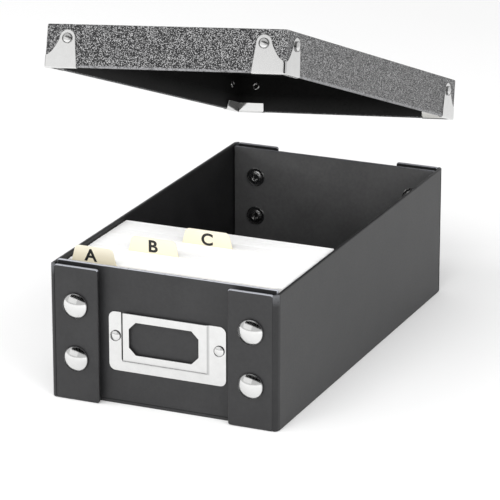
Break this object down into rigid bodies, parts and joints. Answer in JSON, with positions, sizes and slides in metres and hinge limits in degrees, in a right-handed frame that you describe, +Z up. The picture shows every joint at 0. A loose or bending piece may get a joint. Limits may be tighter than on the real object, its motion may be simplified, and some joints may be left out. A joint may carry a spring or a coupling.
{
  "type": "index card storage box",
  "caption": "Snap-together card box with label holder, cards, lettered guide tabs and a loose lid with metal corners.",
  "frame": {"origin": "middle of the underside of the box", "axes": "+X to the right of the labelled end, +Y from the labelled end to the back, +Z up"},
  "size_m": [0.1589, 0.2934, 0.2204],
  "materials": {
    "box_board": "matte embossed paper over board",
    "lid_leatherette": "fine-grained leatherette",
    "bright_nickel": "bright nickel plate",
    "white_card": "smooth uncoated card",
    "cream_guide": "smooth uncoated card"
  },
  "bodies": {
    "box": {"bottom_panel": "box_board", "left_side_wall": "box_board", "right_side_wall": "box_board", "front_panel": "box_board", "front_left_crease": "box_board", "front_right_crease": "box_board", "back_left_crease": "box_board", "back_right_crease": "box_board", "back_panel_crease": "box_board", "front_snap_studs": "bright_nickel", "front_snap_eyelets": "bright_nickel", "label_holder": "bright_nickel", "label_holder_rivets": "bright_nickel"},
    "back_panel": {"back_panel": "box_board", "back_snap_studs": "bright_nickel", "back_snap_eyelets": "bright_nickel"},
    "front_left_flap": {"front_left_flap": "box_board", "front_left_snap_caps": "bright_nickel", "front_left_snap_sockets": "bright_nickel"},
    "front_right_flap": {"front_right_flap": "box_board", "front_right_snap_caps": "bright_nickel", "front_right_snap_sockets": "bright_nickel"},
    "back_left_flap": {"back_left_flap": "box_board", "back_left_snap_caps": "bright_nickel", "back_left_snap_sockets": "bright_nickel"},
    "back_right_flap": {"back_right_flap": "box_board", "back_right_snap_caps": "bright_nickel", "back_right_snap_sockets": "bright_nickel"},
    "lid": {"lid_top_panel": "lid_leatherette", "lid_front_skirt": "lid_leatherette", "lid_back_skirt": "lid_leatherette", "lid_left_skirt": "lid_leatherette", "lid_right_skirt": "lid_leatherette", "lid_front_right_corner": "bright_nickel", "lid_front_right_rivets": "bright_nickel", "lid_back_right_corner": "bright_nickel", "lid_back_right_rivets": "bright_nickel", "lid_back_left_corner": "bright_nickel", "lid_back_left_rivets": "bright_nickel", "lid_front_left_corner": "bright_nickel", "lid_front_left_rivets": "bright_nickel"},
    "guide_a": {"guide_a_card": "cream_guide"},
    "guide_b": {"guide_b_card": "cream_guide"},
    "guide_c": {"guide_c_card": "cream_guide"},
    "card_pack_1": {"card_pack_1": "white_card"},
    "card_pack_2": {"card_pack_2": "white_card"},
    "card_pack_3": {"card_pack_3": "white_card"}
  },
  "joints": [
    {"name": "lid_lift", "type": "hinge", "parent": "box", "child": "lid", "pos_m": [-0.04891, 0.21357, 0.0333], "axis": [-0.974, -0.2231, -0.0384], "range_deg": [-20.84, 12]},
    {"name": "front_left_flap_fold", "type": "hinge", "parent": "box", "child": "front_left_flap", "pos_m": [-0.067, -0.127, 0.04], "axis": [0, 0, -1], "range_deg": [0, 90]},
    {"name": "front_right_flap_fold", "type": "hinge", "parent": "box", "child": "front_right_flap", "pos_m": [0.067, -0.127, 0.04], "axis": [0, 0, 1], "range_deg": [0, 90]},
    {"name": "back_left_flap_fold", "type": "hinge", "parent": "box", "child": "back_left_flap", "pos_m": [-0.067, 0.127, 0.04], "axis": [0, 0, 1], "range_deg": [0, 90]},
    {"name": "back_right_flap_fold", "type": "hinge", "parent": "box", "child": "back_right_flap", "pos_m": [0.067, 0.127, 0.04], "axis": [0, 0, -1], "range_deg": [0, 90]},
    {"name": "back_panel_fold", "type": "hinge", "parent": "box", "child": "back_panel", "pos_m": [0, 0.1215, 0.003], "axis": [1, 0, 0], "range_deg": [0, 86]},
    {"name": "guide_a_lift", "type": "slide", "parent": "box", "child": "guide_a", "axis": [0, 0, 1], "range_m": [0, 0.08]},
    {"name": "guide_b_lift", "type": "slide", "parent": "box", "child": "guide_b", "axis": [0, 0, 1], "range_m": [0, 0.08]},
    {"name": "guide_c_lift", "type": "slide", "parent": "box", "child": "guide_c", "axis": [0, 0, 1], "range_m": [0, 0.08]},
    {"name": "card_pack_1_lift", "type": "slide", "parent": "box", "child": "card_pack_1", "axis": [0, 0, 1], "range_m": [0, 0.08]},
    {"name": "card_pack_2_lift", "type": "slide", "parent": "box", "child": "card_pack_2", "axis": [0, 0, 1], "range_m": [0, 0.08]},
    {"name": "card_pack_3_lift", "type": "slide", "parent": "box", "child": "card_pack_3", "axis": [0, 0, 1], "range_m": [0, 0.08]}
  ]
}
